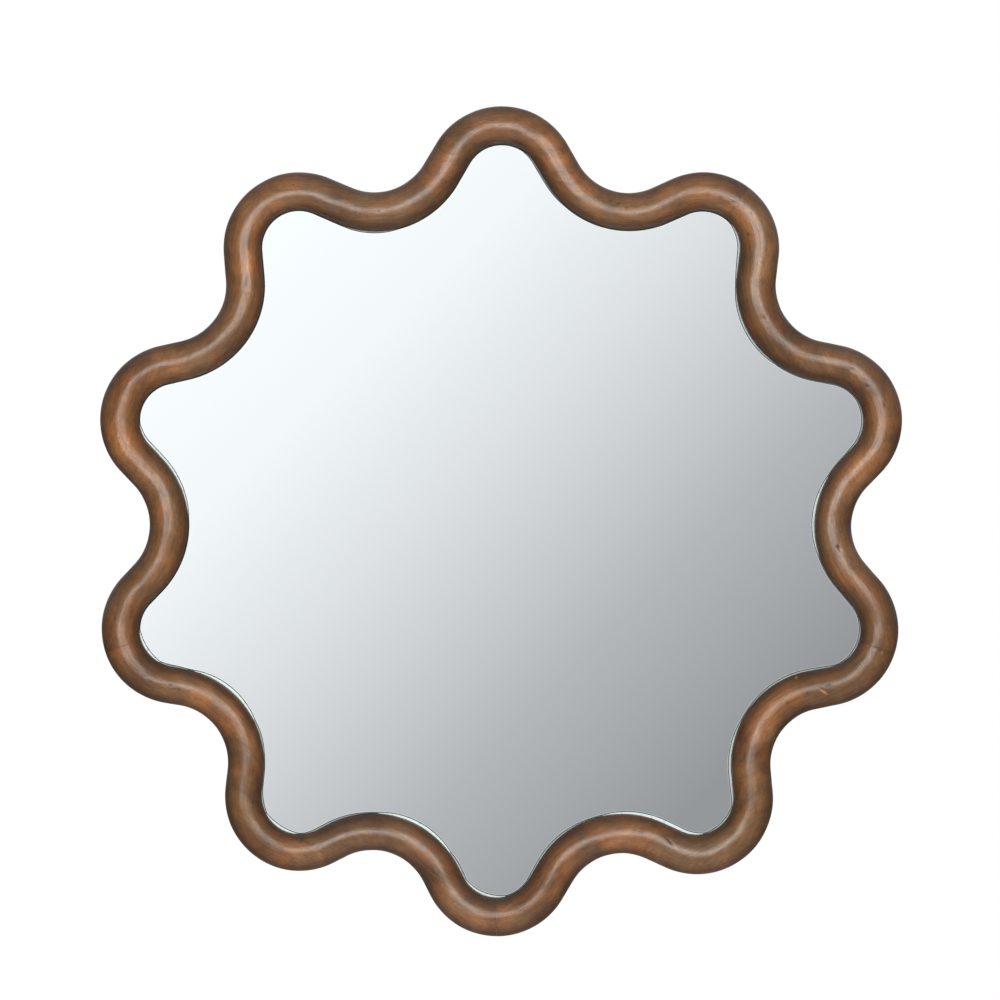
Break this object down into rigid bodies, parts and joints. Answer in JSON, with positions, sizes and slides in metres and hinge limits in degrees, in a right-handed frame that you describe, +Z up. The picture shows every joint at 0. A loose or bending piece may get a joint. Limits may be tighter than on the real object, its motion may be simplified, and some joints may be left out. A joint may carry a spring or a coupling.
{
  "type": "irregular shaped mirror",
  "caption": "Wall mirror in a closed wavy ring of half-round wooden moulding, with glass cut to the same wavy line and swinging hanging rings behind.",
  "frame": {"origin": "middle of the backing board's rear face, flush with the moulding's flat back", "axes": "+Z up, +Y towards the wall, so the mirror looks along -Y; +X to the right as the mirror is looked at"},
  "size_m": [0.8003, 0.0393, 0.8289],
  "materials": {
    "stained_wood": "walnut-brown stain under a satin lacquer",
    "beech": "bare beech dowel",
    "hardboard": "bare pressed board",
    "silvered_glass": "silvered float glass with a polished edge",
    "foam_tape": "white foam mirror tape",
    "zinc_plate": "bright zinc-plated steel",
    "black_rubber": "matt black rubber"
  },
  "bodies": {
    "mirror": {"frame_top": "stained_wood", "frame_right": "stained_wood", "frame_lower_right": "stained_wood", "frame_lower_left": "stained_wood", "frame_left": "stained_wood", "dowel_upper_right_outer": "beech", "dowel_upper_right_inner": "beech", "dowel_right_outer": "beech", "dowel_right_inner": "beech", "dowel_bottom_outer": "beech", "dowel_bottom_inner": "beech", "dowel_left_outer": "beech", "dowel_left_inner": "beech", "dowel_upper_left_outer": "beech", "dowel_upper_left_inner": "beech", "backing_board": "hardboard", "mirror_glass": "silvered_glass", "bonding_tape_1": "foam_tape", "bonding_tape_2": "foam_tape", "bonding_tape_3": "foam_tape", "bonding_tape_4": "foam_tape", "bonding_tape_5": "foam_tape", "bonding_tape_6": "foam_tape", "board_screw_01": "zinc_plate", "board_screw_02": "zinc_plate", "board_screw_03": "zinc_plate", "board_screw_04": "zinc_plate", "board_screw_05": "zinc_plate", "board_screw_06": "zinc_plate", "board_screw_07": "zinc_plate", "board_screw_08": "zinc_plate", "board_screw_09": "zinc_plate", "board_screw_10": "zinc_plate", "board_screw_11": "zinc_plate", "board_screw_12": "zinc_plate", "board_screw_13": "zinc_plate", "board_screw_14": "zinc_plate", "board_screw_15": "zinc_plate", "hanger_plate_left": "zinc_plate", "hanger_plate_right": "zinc_plate", "hanger_screw_left_upper": "zinc_plate", "hanger_screw_left_lower": "zinc_plate", "hanger_screw_right_upper": "zinc_plate", "hanger_screw_right_lower": "zinc_plate", "wall_bumper_upper_left": "black_rubber", "wall_bumper_upper_right": "black_rubber", "wall_bumper_lower_left": "black_rubber", "wall_bumper_lower_right": "black_rubber"},
    "ring_left": {"hanger_ring_left": "zinc_plate"},
    "ring_right": {"hanger_ring_right": "zinc_plate"}
  },
  "joints": [
    {"name": "ring_left_swing", "type": "hinge", "parent": "mirror", "child": "ring_left", "pos_m": [-0.25999, 0.0033, 0.27887], "axis": [1, 0, 0], "range_deg": [0, 180]},
    {"name": "ring_right_swing", "type": "hinge", "parent": "mirror", "child": "ring_right", "pos_m": [0.26124, 0.0033, 0.27887], "axis": [1, 0, 0], "range_deg": [0, 180]}
  ]
}
